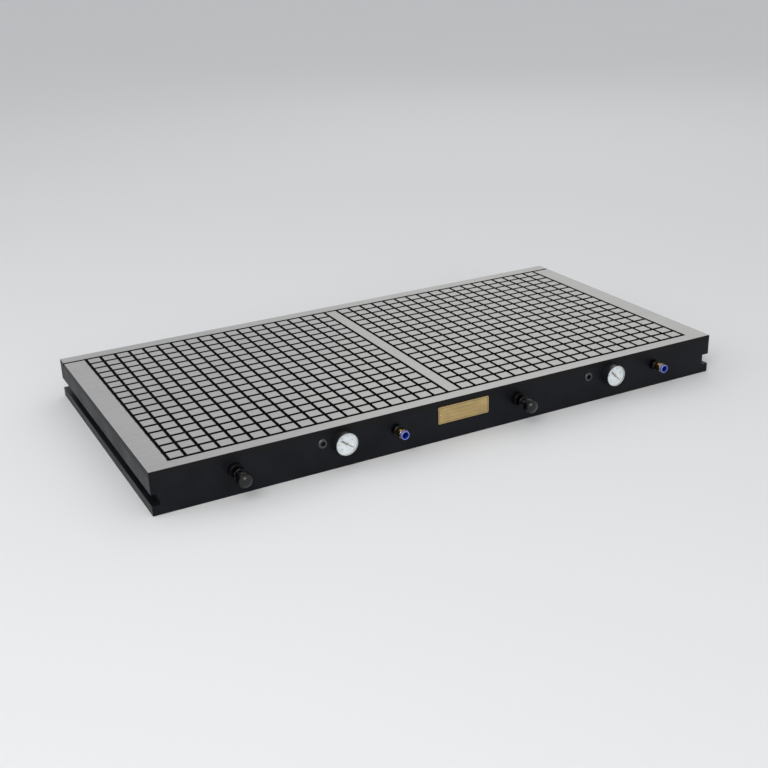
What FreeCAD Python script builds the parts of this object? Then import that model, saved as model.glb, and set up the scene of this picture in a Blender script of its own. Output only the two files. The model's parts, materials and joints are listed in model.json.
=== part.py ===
import FreeCAD, Part
import math
import os

# Vacuum chuck: a grooved work plate on a machined base, with two vacuum zones side by side.
# Each zone has a push-pull valve, a vacuum gauge, a push-in hose fitting and a gallery plug on
# the front face. A stop fence runs along the rear edge and lifts out of the work face.
# Millimetres. Origin at the centre of the underside, +X along the long side, +Y to the rear, +Z up.

# Groove grid of the work face
pitch = 20.0
cells = 18
groove_width = 4.2
groove_depth = 4.0
bar_width = 20.0
end_margin = 30.0
front_margin = 19.0
rear_margin = 21.0

# Plates
work_plate_thickness = 8.0
base_height = 46.0
edge_chamfer = 0.5
flat_tolerance = 0.001

# Clamp slots in both short ends, below a full-width cover
slot_cover = 19.5
slot_height = 14.0
slot_depth = 10.0

# Stop fence along the rear edge
fence_lift = 6.0
fence_gap = 0.1
fence_screw_count = 3
fence_screw_drop = 5.5
fence_screw_spacing = 340.0
fence_head_recess = 7.0
fence_thread_depth = 12.0

# Screws
screw_radius = 2.5
screw_head_radius = 4.25
screw_head_height = 5.0
screw_hex_flats = 4.0
screw_hex_depth = 2.5
screw_hole_clearance = 0.25
head_recess_clearance = 0.5
plate_screw_recess = 7.0
plate_screw_bite = 5.5
plate_screw_inset = 1.5

# Port places along the front, from the first groove of the zone
left_valve_station = 68.3
left_plug_station = 177.7
left_gauge_station = 204.1
left_fitting_station = 275.7
right_valve_station = 70.5
right_plug_station = 182.5
right_gauge_station = 219.8
right_fitting_station = 292.2

# Port depths below the top of the base, and the wall between the valve bore and the cord groove
valve_bore_cover = 4.35
plug_drop = 9.4
gauge_drop = 12.4
fitting_drop = 14.3

# Vacuum galleries milled in the top of the base, and the drillings that reach them
gallery_width = 8.0
zone_gallery_depth = 11.0
supply_gallery_depth = 6.0
supply_gallery_inset = 24.0
zone_gallery_inset = 54.0
gallery_overrun = 10.0
suction_row_count = 3
suction_radius = 2.0
cord_section = 3.0
cord_squeeze = 0.4
cord_margin = 5.0

# Threaded ports of gauge, fitting and plug
port_thread_radius = 4.86
port_thread_depth = 12.0
gauge_pilot_radius = 2.5
plug_pilot_radius = 2.0
supply_pilot_radius = 3.0
running_clearance = 0.05

# Push-pull valve
valve_bore_spare = 2.0
valve_end_wall = 1.5
valve_port_width = 4.0
valve_shank_radius = 7.0
valve_collar_radius = 9.0
valve_collar_length = 7.5
valve_collar_chamfer = 0.8
spool_bore_radius = 4.1
nut_flats = 13.0
nut_length = 7.5
nut_chamfer = 0.9
nut_chamfer_width = 1.8
stem_radius = 3.0
guide_land_length = 9.0
gate_land_length = 12.0
gate_overlap = 2.5
spool_end_gap = 1.0
spool_waist_radius = 2.4
seal_section = 1.2
seal_edge = 0.6
knob_radius = 8.75
knob_length = 11.5
knob_socket_depth = 8.0
knob_face_rise = 1.1
knob_front_edge = 1.2
knob_back_edge = 0.8
knob_travel = 8.0
knob_gap = 9.5

# Vacuum gauge
gauge_radius = 14.8
gauge_back = 1.5
gauge_wall = 0.5
gauge_case_depth = 9.4
bezel_lip = 0.5
bezel_front = 1.1
bezel_taper = 0.15
bezel_edge = 0.35
glass_to_dial = 1.8
dial_thickness = 0.6
dial_hole_radius = 0.9
lens_thickness = 1.0
spindle_radius = 0.6
glass_to_needle_back = 0.8
needle_thickness = 0.4
needle_length = 11.5
needle_tail = 7.5
needle_tip_width = 0.5
needle_root_width = 1.1
needle_tail_width = 1.7
needle_hub_radius = 1.2
needle_hub_height = 0.5
left_needle_angle = -37.0
right_needle_angle = -45.0
gauge_socket_width = 9.0
gauge_bearing_length = 3.0
spindle_end_gap = 0.5
bourdon_radius = 9.0
bourdon_width = 2.4
bourdon_thickness = 1.0
bourdon_sweep = 250.0

# Push-in hose fitting
tube_radius = 4.1
tube_entry_clearance = 0.1
adapter_radius = 6.9
adapter_length = 7.5
adapter_chamfer = 0.8
fitting_flats = 13.0
fitting_hex_length = 9.0
fitting_chamfer = 0.9
fitting_chamfer_width = 1.45
fitting_back_chamfer = 0.45
fitting_thread_radius = 5.9
fitting_thread_length = 6.5
tube_stop_out = 2.0
collet_recess_radius = 5.4
collet_recess_depth = 7.5
flow_radius = 2.9
tube_seal_length = 1.5
grab_ring_thickness = 0.6
ring_end_gap = 0.2
ring_flange_radius = 6.7
ring_flange_length = 4.3
ring_edge = 0.95
ring_stem_radius = 5.3
ring_travel = 1.5
ring_gap = 1.7

# Gallery plug
plug_head_radius = 5.9
plug_head_length = 1.4
plug_chamfer = 0.7
plug_length = 8.0
plug_hex_flats = 6.0
plug_hex_depth = 5.0

# Bare name plate
badge_width = 73.0
badge_height = 22.5
badge_thickness = 1.0
badge_drop = 11.4
badge_centre_x = 0.2
badge_pin_radius = 0.65
badge_pin_head_radius = 1.3
badge_pin_head = 0.7
badge_pin_length = 5.0
badge_pin_inset = 4.0

# Sizes that follow from those above
zone_span = cells * pitch
plate_length = 2 * (end_margin + zone_span) + bar_width
plate_width = front_margin + zone_span + rear_margin
plate_height = base_height + work_plate_thickness
front_y = -plate_width / 2
rear_y = plate_width / 2
first_row_y = rear_y - rear_margin
plate_rear_y = first_row_y + groove_width / 2
slot_top = base_height - slot_cover
slot_floor = slot_top - slot_height
cord_groove_floor = base_height - cord_section + cord_squeeze
valve_height = cord_groove_floor - valve_bore_cover - valve_shank_radius - running_clearance
plug_height = base_height - plug_drop
gauge_height = base_height - gauge_drop
fitting_height = base_height - fitting_drop
badge_centre_height = base_height - badge_drop
fence_screw_height = base_height - fence_screw_drop
fence_front_y = plate_rear_y + fence_gap
gate_front_out = gallery_width / 2 - zone_gallery_inset + gate_overlap
spool_end_out = gate_front_out - gate_land_length
valve_bore_end_out = spool_end_out - knob_travel - spool_end_gap
valve_end_out = valve_bore_end_out - valve_end_wall
gauge_depth = gauge_case_depth + lens_thickness + bezel_front
dial_out = gauge_case_depth - glass_to_dial
needle_out = gauge_case_depth - glass_to_needle_back
gauge_socket_depth = dial_out - dial_thickness - gauge_back
suction_column = cells // 2
suction_rows = [cells * (2 * n + 1) // (2 * suction_row_count) for n in range(suction_row_count)]
zone_gallery_rear = first_row_y - suction_rows[0] * pitch + gallery_overrun
zone_starts = {"left": -bar_width / 2 - zone_span, "right": bar_width / 2}
needle_angles = {"left": left_needle_angle, "right": right_needle_angle}
stations = {
    "left": {
        "valve": left_valve_station,
        "plug": left_plug_station,
        "gauge": left_gauge_station,
        "fitting": left_fitting_station,
    },
    "right": {
        "valve": right_valve_station,
        "plug": right_plug_station,
        "gauge": right_gauge_station,
        "fitting": right_fitting_station,
    },
}


def vec(x, y, z):
    return FreeCAD.Vector(x, y, z)


def block(x0, x1, y0, y1, z0, z1):
    """Box between two corners."""
    return Part.makeBox(x1 - x0, y1 - y0, z1 - z0, vec(x0, y0, z0))


def fused(shapes):
    """One solid from several that touch or overlap."""
    whole = shapes[0].multiFuse(shapes[1:]) if len(shapes) > 1 else shapes[0]
    return whole.removeSplitter()


def station_x(side, name):
    return zone_starts[side] + stations[side][name]


def upright(radius, x, y, z0, z1):
    """Vertical cylinder."""
    return Part.makeCylinder(radius, z1 - z0, vec(x, y, z0), vec(0, 0, 1))


def eased(shape, chosen):
    """Shape with a small chamfer on the edges whose bounding box the test picks."""
    return shape.makeChamfer(edge_chamfer, [edge for edge in shape.Edges if chosen(edge.BoundBox)])


def at_height(box, z):
    return abs(box.ZMin - z) < flat_tolerance and abs(box.ZMax - z) < flat_tolerance


def rounded(shape, radius, out):
    """Shape with the edges that lie at one distance out from the front face rounded."""
    y = front_y - out
    boxes = [(edge, edge.BoundBox) for edge in shape.Edges]
    edges = [e for e, box in boxes if max(abs(box.YMin - y), abs(box.YMax - y)) < flat_tolerance]
    return shape.makeFillet(radius, edges)


def level(radius, x, z, out0, out1):
    """Cylinder square to the front face, between two distances out from it (negative is inside)."""
    return Part.makeCylinder(radius, out1 - out0, vec(x, front_y - out0, z), vec(0, -1, 0))


def turned(profile, x, z):
    """Solid turned about an axis square to the front face, from (out, radius) points."""
    corners = [vec(x + radius, front_y - out, z) for out, radius in profile]
    face = Part.Face(Part.makePolygon(corners + corners[:1]))
    return face.revolve(vec(x, front_y, z), vec(0, -1, 0), 360)


def hexagon_level(flats, x, z, out0, out1):
    """Hexagonal bar square to the front face."""
    radius = flats / math.sqrt(3)
    corners = []
    for step in range(7):
        angle = math.radians(60 * step + 30)
        corners.append(vec(x + radius * math.cos(angle), front_y - out0, z + radius * math.sin(angle)))
    return Part.Face(Part.makePolygon(corners)).extrude(vec(0, out0 - out1, 0))


def write(name, shape):
    shape.exportStep("parts/" + name + ".step")


def screw_places():
    """Centres of the plate screws, each under a pad or under the bar between the zones."""
    far = zone_span + bar_width / 2 - plate_screw_inset * pitch
    near_y = front_y + front_margin + plate_screw_inset * pitch
    far_y = first_row_y - plate_screw_inset * pitch
    return [(x, y) for x in (-far, 0, far) for y in (near_y, far_y)]


def fence_screw_xs():
    first = -fence_screw_spacing * (fence_screw_count - 1) / 2
    return [first + n * fence_screw_spacing for n in range(fence_screw_count)]


def rectangle(x0, x1, y0, y1, z):
    """Closed rectangular wire on a level plane."""
    corners = [vec(x0, y0, z), vec(x1, y0, z), vec(x1, y1, z), vec(x0, y1, z)]
    return Part.makePolygon(corners + corners[:1])


def groove_net(start):
    """Crossing grooves of one zone as one solid, with a hole for every pad."""
    floor = plate_height - groove_depth
    half = groove_width / 2
    front_line = front_y + front_margin
    outer = rectangle(start - half, start + zone_span + half, front_line - half, plate_rear_y, floor)
    pads = []
    for column in range(cells):
        x = start + column * pitch
        for row in range(cells):
            y = front_line + row * pitch
            # the hole wires run the other way round from the outer wire
            pads.append(rectangle(x + half, x + pitch - half, y + pitch - half, y + half, floor))
    return Part.Face([outer] + pads).extrude(vec(0, 0, groove_depth))


def work_plate():
    """Plate whose top face carries the two groove grids and the full-length groove at its rear."""
    half = plate_length / 2
    floor = plate_height - groove_depth
    front_line = front_y + front_margin
    body = block(-half, half, front_y, plate_rear_y, base_height, plate_height)
    body = eased(body, lambda box: at_height(box, plate_height) and box.YMin < plate_rear_y - flat_tolerance)
    cuts = [groove_net(start) for start in zone_starts.values()]
    cuts.append(block(-half, half, first_row_y - groove_width / 2, plate_rear_y, floor, plate_height))
    cuts.append(
        block(
            -bar_width / 2,
            bar_width / 2,
            front_line - groove_width / 2,
            front_line + groove_width / 2,
            floor,
            plate_height,
        )
    )
    for start in zone_starts.values():
        for row in suction_rows:
            y = first_row_y - row * pitch
            cuts.append(upright(suction_radius, start + suction_column * pitch, y, base_height, floor))
    for x, y in screw_places():
        cuts.append(upright(screw_radius, x, y, base_height, base_height + plate_screw_bite))
    return body.cut(cuts)


def gallery_boxes(side):
    """Milled channels of one zone: supply from fitting to valve, and the gallery behind it."""
    half = gallery_width / 2
    valve_x = station_x(side, "valve")
    gauge_x = station_x(side, "gauge")
    fitting_x = station_x(side, "fitting")
    hole_x = zone_starts[side] + suction_column * pitch
    supply_y = front_y + supply_gallery_inset
    zone_y = front_y + zone_gallery_inset
    supply_floor = base_height - supply_gallery_depth
    zone_floor = base_height - zone_gallery_depth
    west = valve_x - half
    top = base_height
    return {
        "supply": block(west, fitting_x + half, supply_y - half, supply_y + half, supply_floor, top),
        "cross": block(west, gauge_x + half, zone_y - half, zone_y + half, zone_floor, top),
        "long": block(hole_x - half, hole_x + half, zone_y - half, zone_gallery_rear, zone_floor, top),
    }


def cord_loop(low, high, grow):
    """Rectangular loop of square cord round a region of the base top, as wide as cord_section + 2 * grow."""
    outer = cord_margin + cord_section + grow
    inner = cord_margin - grow
    loops = []
    for reach in (outer, inner):
        x0, x1 = low[0] - reach, high[0] + reach
        y0, y1 = low[1] - reach, high[1] + reach
        loops.append(block(x0, x1, y0, y1, cord_groove_floor, base_height))
    return loops[0].cut(loops[1])


def cord_regions(side):
    """Low and high corners of the supply channel and of the zone gallery."""
    boxes = gallery_boxes(side)
    supply = boxes["supply"].BoundBox
    zone = fused([boxes["cross"], boxes["long"]]).BoundBox
    return {
        "supply": ((supply.XMin, supply.YMin), (supply.XMax, supply.YMax)),
        "zone": ((zone.XMin, zone.YMin), (zone.XMax, zone.YMax)),
    }


def port_cuts(side):
    """Bores that enter one zone from the front face, and the drillings up to the supply channel."""
    thread = port_thread_radius + running_clearance
    supply_end = -supply_gallery_inset - supply_pilot_radius
    supply_y = front_y + supply_gallery_inset
    supply_floor = base_height - supply_gallery_depth
    cuts = [
        level(
            valve_shank_radius + running_clearance,
            station_x(side, "valve"),
            valve_height,
            valve_end_out - valve_bore_spare,
            0,
        ),
        level(supply_pilot_radius, station_x(side, "fitting"), fitting_height, supply_end, 0),
    ]
    for name, height in (("fitting", fitting_height), ("valve", valve_height)):
        cuts.append(upright(supply_pilot_radius, station_x(side, name), supply_y, height, supply_floor))
    for name, height, pilot in (
        ("gauge", gauge_height, gauge_pilot_radius),
        ("plug", plug_height, plug_pilot_radius),
    ):
        cuts.append(level(pilot, station_x(side, name), height, -zone_gallery_inset, 0))
    for name, height in (("fitting", fitting_height), ("gauge", gauge_height), ("plug", plug_height)):
        cuts.append(level(thread, station_x(side, name), height, -port_thread_depth, 0))
    return cuts


def chuck_base():
    """Base with the clamp slots, the rear seat of the fence, the ports and the galleries."""
    half = plate_length / 2
    neck = half - slot_depth
    lower = eased(block(-half, half, front_y, rear_y, 0, slot_floor), lambda box: at_height(box, 0))
    middle = block(-neck, neck, front_y, rear_y, slot_floor, slot_top)
    upper = block(-half, half, front_y, plate_rear_y, slot_top, base_height)
    cuts = []
    for side in zone_starts:
        boxes = gallery_boxes(side)
        cuts += list(boxes.values())
        for low, high in cord_regions(side).values():
            cuts.append(cord_loop(low, high, running_clearance))
        cuts += port_cuts(side)
    for x, y in screw_places():
        cuts.append(upright(screw_head_radius + head_recess_clearance, x, y, 0, plate_screw_recess))
        cuts.append(upright(screw_radius + screw_hole_clearance, x, y, plate_screw_recess, base_height))
    for x in fence_screw_xs():
        centre = vec(x, plate_rear_y - fence_thread_depth, fence_screw_height)
        cuts.append(Part.makeCylinder(screw_radius, fence_thread_depth, centre, vec(0, 1, 0)))
    for x in badge_pin_xs():
        cuts.append(level(badge_pin_radius, x, badge_centre_height, -badge_pin_length, 0))
    return fused([lower, middle, upper]).cut(cuts)


def upright_slot(x, radius, low, high, y0, y1):
    """Round-ended vertical slot, cut along Y."""
    ends = [Part.makeCylinder(radius, y1 - y0, vec(x, y0, z), vec(0, 1, 0)) for z in (low, high)]
    return fused([block(x - radius, x + radius, y0, y1, low, high)] + ends)


def rear_fence():
    """Stop fence, flush with the work face when down, with slots that its clamp screws pass through."""
    half = plate_length / 2
    low = fence_screw_height - fence_lift
    high = fence_screw_height
    recess_y = rear_y - fence_head_recess
    body = block(-half, half, fence_front_y, rear_y, slot_top, plate_height)
    body = eased(body, lambda box: at_height(box, plate_height) and box.YMax > fence_front_y + flat_tolerance)
    cuts = []
    for x in fence_screw_xs():
        cuts.append(upright_slot(x, screw_radius + screw_hole_clearance, low, high, fence_front_y, rear_y))
        cuts.append(upright_slot(x, screw_head_radius + head_recess_clearance, low, high, recess_y, rear_y))
    return body.cut(cuts)


def socket_screw(length):
    """Socket-head screw with the underside of its head at the origin and its shank along +Z."""
    head = Part.makeCylinder(screw_head_radius, screw_head_height, vec(0, 0, -screw_head_height))
    shank = Part.makeCylinder(screw_radius, length)
    radius = screw_hex_flats / math.sqrt(3)
    corners = []
    for step in range(7):
        angle = math.radians(60 * step)
        corners.append(vec(radius * math.cos(angle), radius * math.sin(angle), -screw_head_height))
    socket = Part.Face(Part.makePolygon(corners)).extrude(vec(0, 0, screw_hex_depth))
    return fused([head, shank]).cut(socket)


def plate_screws():
    """Screws that pull the work plate down on the base, heads in the underside."""
    length = base_height + plate_screw_bite - plate_screw_recess - running_clearance
    solids = []
    for x, y in screw_places():
        screw = socket_screw(length)
        screw.translate(vec(x, y, plate_screw_recess))
        solids.append(screw)
    return Part.makeCompound(solids)


def fence_screws():
    """Clamp screws of the fence, heads in the rear recesses."""
    head_y = rear_y - fence_head_recess + running_clearance
    length = head_y - plate_rear_y + fence_thread_depth - running_clearance
    solids = []
    for x in fence_screw_xs():
        screw = socket_screw(length)
        screw.rotate(vec(0, 0, 0), vec(1, 0, 0), 90)
        screw.translate(vec(x, head_y, fence_screw_height))
        solids.append(screw)
    return Part.makeCompound(solids)


def valve_body(side):
    """Cartridge of the push-pull valve: collar on the front face, ported shank in the base."""
    x = station_x(side, "valve")
    z = valve_height
    chamfer = valve_collar_chamfer
    outer = turned(
        [
            (valve_end_out, 0),
            (valve_end_out, valve_shank_radius),
            (0, valve_shank_radius),
            (0, valve_collar_radius),
            (valve_collar_length - chamfer, valve_collar_radius),
            (valve_collar_length, valve_collar_radius - chamfer),
            (valve_collar_length, 0),
        ],
        x,
        z,
    )
    bore = level(spool_bore_radius, x, z, valve_bore_end_out, valve_collar_length)
    ports = []
    for inset in (supply_gallery_inset, zone_gallery_inset):
        y = front_y + inset
        half_x = valve_port_width / 2
        half_y = gallery_width / 2
        ports.append(block(x - half_x, x + half_x, y - half_y, y + half_y, z, z + valve_shank_radius))
    return outer.cut([bore] + ports)


def valve_nut(side):
    """Hexagon gland nut that keeps the spool in the cartridge."""
    x = station_x(side, "valve")
    start = valve_collar_length
    end = start + nut_length
    bar = hexagon_level(nut_flats, x, valve_height, start, end)
    corner = nut_flats / math.sqrt(3)
    envelope = turned(
        [
            (start, 0),
            (start, corner),
            (end - nut_chamfer, corner),
            (end, corner - nut_chamfer_width),
            (end, 0),
        ],
        x,
        valve_height,
    )
    hole = level(stem_radius + running_clearance, x, valve_height, start, end)
    return bar.common(envelope).cut(hole)


def knob_back_out():
    return valve_collar_length + nut_length + knob_gap


def seal_outs():
    """Mid planes of the seal grooves in the gate land and the guide land, out from the front face."""
    gate = gate_front_out - seal_edge - seal_section / 2
    guide = valve_collar_length - guide_land_length / 2
    return (gate, guide)


def land(back, front, groove_centre):
    """Profile points of one spool land with its seal groove."""
    outside = spool_bore_radius - running_clearance
    groove = outside - seal_section
    half = seal_section / 2
    return [
        (back, outside),
        (groove_centre - half, outside),
        (groove_centre - half, groove),
        (groove_centre + half, groove),
        (groove_centre + half, outside),
        (front, outside),
    ]


def valve_spool(side):
    """Stem and spool in one piece: the gate land shuts the zone port, the guide land stops at the nut."""
    gate_seal, guide_seal = seal_outs()
    guide_front = valve_collar_length - running_clearance
    guide_back = guide_front - guide_land_length
    stem_end = knob_back_out() + knob_socket_depth
    profile = [(spool_end_out, 0)]
    profile += land(spool_end_out, gate_front_out, gate_seal)
    profile += [(gate_front_out, spool_waist_radius), (guide_back, spool_waist_radius)]
    profile += land(guide_back, guide_front, guide_seal)
    profile += [(guide_front, stem_radius), (stem_end, stem_radius), (stem_end, 0)]
    return turned(profile, station_x(side, "valve"), valve_height)


def spool_seals(side):
    """Two square-section seal rings in the grooves of the spool."""
    outside = spool_bore_radius - running_clearance / 2
    inside = spool_bore_radius - running_clearance - seal_section
    rings = []
    for centre in seal_outs():
        low = centre - seal_section / 2
        high = centre + seal_section / 2
        rings.append(
            turned(
                [(low, inside), (low, outside), (high, outside), (high, inside)],
                station_x(side, "valve"),
                valve_height,
            )
        )
    return Part.makeCompound(rings)


def valve_knob(side):
    """Round knob with a crowned face and rounded edges, on the end of the stem."""
    x = station_x(side, "valve")
    back = knob_back_out()
    face = back + knob_length
    crown_radius = (knob_radius**2 + knob_face_rise**2) / (2 * knob_face_rise)
    crown = Part.makeSphere(crown_radius, vec(x, front_y - face + crown_radius, valve_height))
    shape = level(knob_radius, x, valve_height, back, face).common(crown)
    shape = rounded(shape, knob_front_edge, face - knob_face_rise)
    shape = rounded(shape, knob_back_edge, back)
    return shape.cut(level(stem_radius, x, valve_height, back, back + knob_socket_depth))


def gauge_case(side):
    """Round cup behind the dial, seated on the front face."""
    x = station_x(side, "gauge")
    inside = gauge_radius - bezel_lip - gauge_wall
    shape = turned(
        [
            (0, 0),
            (0, gauge_radius - bezel_lip),
            (gauge_case_depth, gauge_radius - bezel_lip),
            (gauge_case_depth, inside),
            (gauge_back, inside),
            (gauge_back, 0),
        ],
        x,
        gauge_height,
    )
    return shape.cut(level(port_thread_radius + running_clearance, x, gauge_height, 0, gauge_back))


def gauge_bezel(side):
    """Ring that closes the cup and holds the lens against the dial chamber."""
    wall = gauge_radius - bezel_lip
    lip = wall - gauge_wall
    ring = turned(
        [
            (gauge_back, wall),
            (gauge_back, gauge_radius - bezel_taper),
            (gauge_depth - bezel_lip, gauge_radius),
            (gauge_depth, gauge_radius),
            (gauge_depth, lip),
            (gauge_case_depth + lens_thickness, lip),
            (gauge_case_depth + lens_thickness, wall),
        ],
        station_x(side, "gauge"),
        gauge_height,
    )
    return rounded(ring, bezel_edge, gauge_depth)


def gauge_lens(side):
    """Clear disc between the cup and the bezel's lip."""
    wall = gauge_radius - bezel_lip
    return level(
        wall, station_x(side, "gauge"), gauge_height, gauge_case_depth, gauge_case_depth + lens_thickness
    )


def gauge_dial(side):
    """Dial disc on the socket, with a hole for the spindle."""
    x = station_x(side, "gauge")
    inside = gauge_radius - bezel_lip - gauge_wall
    disc = level(inside, x, gauge_height, dial_out - dial_thickness, dial_out)
    return disc.cut(level(dial_hole_radius, x, gauge_height, dial_out - dial_thickness, dial_out))


def gauge_socket(side):
    """Threaded stem with the square socket block that carries the Bourdon tube and the dial."""
    x = station_x(side, "gauge")
    half = gauge_socket_width / 2
    low = gauge_height - half - bourdon_thickness
    back_y = front_y - gauge_back
    bearing_start = gauge_back + gauge_socket_depth - gauge_bearing_length
    stem = level(port_thread_radius, x, gauge_height, -port_thread_depth, gauge_back)
    body = block(x - half, x + half, back_y - gauge_socket_depth, back_y, low, gauge_height + half)
    pipe = level(gauge_pilot_radius, x, gauge_height, -port_thread_depth, bearing_start)
    bearing = level(
        spindle_radius + running_clearance,
        x,
        gauge_height,
        bearing_start,
        gauge_back + gauge_socket_depth,
    )
    return fused([stem, body]).cut([pipe, bearing])


def bourdon_tube(side):
    """Flattened tube bent to an arc round the socket, sealed at its free end."""
    x = station_x(side, "gauge")
    y = front_y - gauge_back - gauge_socket_depth / 2
    inner = bourdon_radius - bourdon_thickness / 2
    corners = [
        vec(x, y - bourdon_width / 2, gauge_height - inner),
        vec(x, y + bourdon_width / 2, gauge_height - inner),
        vec(x, y + bourdon_width / 2, gauge_height - inner - bourdon_thickness),
        vec(x, y - bourdon_width / 2, gauge_height - inner - bourdon_thickness),
    ]
    section = Part.Face(Part.makePolygon(corners + corners[:1]))
    arc = section.revolve(vec(x, y, gauge_height), vec(0, 1, 0), bourdon_sweep)
    foot = block(
        x - bourdon_width / 2,
        x + bourdon_width / 2,
        y - bourdon_width / 2,
        y + bourdon_width / 2,
        gauge_height - bourdon_radius - bourdon_thickness / 2,
        gauge_height - gauge_socket_width / 2 - bourdon_thickness,
    )
    return fused([arc, foot])


def gauge_needle(side):
    """Pointer with a broad tail, on a hub and spindle that turn in the socket."""
    x = station_x(side, "gauge")
    z = gauge_height
    back_y = front_y - needle_out
    outline = [
        (needle_length, needle_tip_width / 2),
        (needle_length, -needle_tip_width / 2),
        (0, -needle_root_width / 2),
        (0, -needle_tail_width / 2),
        (-needle_tail, -needle_tail_width / 2),
        (-needle_tail, needle_tail_width / 2),
        (0, needle_tail_width / 2),
        (0, needle_root_width / 2),
    ]
    angle = math.radians(needle_angles[side])
    corners = []
    for along, across in outline:
        corners.append(
            vec(
                x + along * math.cos(angle) - across * math.sin(angle),
                back_y,
                z + along * math.sin(angle) + across * math.cos(angle),
            )
        )
    pointer = Part.Face(Part.makePolygon(corners + corners[:1])).extrude(vec(0, -needle_thickness, 0))
    hub = level(needle_hub_radius, x, z, needle_out - needle_hub_height, needle_out + needle_thickness)
    spindle_start = gauge_back + gauge_socket_depth - gauge_bearing_length + spindle_end_gap
    spindle = level(spindle_radius, x, z, spindle_start, needle_out)
    return fused([pointer, hub, spindle])


def hose_adapter(side):
    """Dark round adapter between the base and the brass fitting."""
    x = station_x(side, "fitting")
    outer = turned(
        [
            (-port_thread_depth, 0),
            (-port_thread_depth, port_thread_radius),
            (0, port_thread_radius),
            (0, adapter_radius),
            (adapter_length - adapter_chamfer, adapter_radius),
            (adapter_length, adapter_radius - adapter_chamfer),
            (adapter_length, 0),
        ],
        x,
        fitting_height,
    )
    inner = turned(
        [
            (-port_thread_depth, 0),
            (-port_thread_depth, flow_radius),
            (adapter_length - fitting_thread_length, flow_radius),
            (adapter_length - fitting_thread_length, fitting_thread_radius),
            (adapter_length, fitting_thread_radius),
            (adapter_length, 0),
        ],
        x,
        fitting_height,
    )
    return outer.cut(inner)


def fitting_body(side):
    """Brass hexagon body with the tube socket, screwed into the adapter."""
    x = station_x(side, "fitting")
    start = adapter_length
    end = start + fitting_hex_length
    hexagon = hexagon_level(fitting_flats, x, fitting_height, start, end)
    corner = fitting_flats / math.sqrt(3)
    envelope = turned(
        [
            (start, 0),
            (start, corner - fitting_back_chamfer),
            (start + fitting_back_chamfer, corner),
            (end - fitting_chamfer, corner),
            (end, corner - fitting_chamfer_width),
            (end, 0),
        ],
        x,
        fitting_height,
    )
    shank = level(
        fitting_thread_radius - running_clearance,
        x,
        fitting_height,
        start - fitting_thread_length,
        start,
    )
    inner = turned(
        [
            (start - fitting_thread_length, 0),
            (start - fitting_thread_length, flow_radius),
            (tube_stop_out, flow_radius),
            (tube_stop_out, tube_radius),
            (end - collet_recess_depth, tube_radius),
            (end - collet_recess_depth, collet_recess_radius),
            (end, collet_recess_radius),
            (end, 0),
        ],
        x,
        fitting_height,
    )
    return fused([hexagon.common(envelope), shank]).cut(inner)


def recess_floor_out():
    return adapter_length + fitting_hex_length - collet_recess_depth


def tube_seal(side):
    """Seal ring on the floor of the collet recess."""
    low = recess_floor_out()
    high = low + tube_seal_length
    inside = tube_radius + tube_entry_clearance
    return turned(
        [(low, inside), (low, collet_recess_radius), (high, collet_recess_radius), (high, inside)],
        station_x(side, "fitting"),
        fitting_height,
    )


def grab_ring(side):
    """Thin steel ring that grips the tube."""
    low = recess_floor_out() + tube_seal_length
    high = low + grab_ring_thickness
    inside = tube_radius + running_clearance
    return turned(
        [(low, inside), (low, collet_recess_radius), (high, collet_recess_radius), (high, inside)],
        station_x(side, "fitting"),
        fitting_height,
    )


def release_ring(side):
    """Blue ring that is pushed in to free the tube."""
    face = adapter_length + fitting_hex_length
    stem_end = recess_floor_out() + tube_seal_length + grab_ring_thickness + ring_travel + ring_end_gap
    flange = face + ring_gap
    front = flange + ring_flange_length
    bore = tube_radius + tube_entry_clearance
    ring = turned(
        [
            (stem_end, bore),
            (stem_end, ring_stem_radius),
            (flange, ring_stem_radius),
            (flange, ring_flange_radius),
            (front, ring_flange_radius),
            (front, bore),
        ],
        station_x(side, "fitting"),
        fitting_height,
    )
    return rounded(ring, ring_edge, front)


def gallery_plug(side):
    """Socket plug that closes the drilled end of the gallery."""
    x = station_x(side, "plug")
    body = turned(
        [
            (-plug_length, 0),
            (-plug_length, port_thread_radius),
            (0, port_thread_radius),
            (0, plug_head_radius),
            (plug_head_length - plug_chamfer, plug_head_radius),
            (plug_head_length, plug_head_radius - plug_chamfer),
            (plug_head_length, 0),
        ],
        x,
        plug_height,
    )
    return body.cut(hexagon_level(plug_hex_flats, x, plug_height, -plug_hex_depth, plug_head_length))


def badge_pin_xs():
    reach = badge_width / 2 - badge_pin_inset
    return (badge_centre_x - reach, badge_centre_x + reach)


def name_plate():
    """Bare brass plate on the front face."""
    half_width = badge_width / 2
    half_height = badge_height / 2
    plate = block(
        badge_centre_x - half_width,
        badge_centre_x + half_width,
        front_y - badge_thickness,
        front_y,
        badge_centre_height - half_height,
        badge_centre_height + half_height,
    )
    holes = [level(badge_pin_radius, x, badge_centre_height, 0, badge_thickness) for x in badge_pin_xs()]
    return plate.cut(holes)


def name_plate_pins():
    """Two drive pins that hold the name plate."""
    pins = []
    for x in badge_pin_xs():
        head = level(
            badge_pin_head_radius, x, badge_centre_height, badge_thickness, badge_thickness + badge_pin_head
        )
        shank = level(badge_pin_radius, x, badge_centre_height, -badge_pin_length, badge_thickness)
        pins.append(fused([head, shank]))
    return Part.makeCompound(pins)


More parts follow.
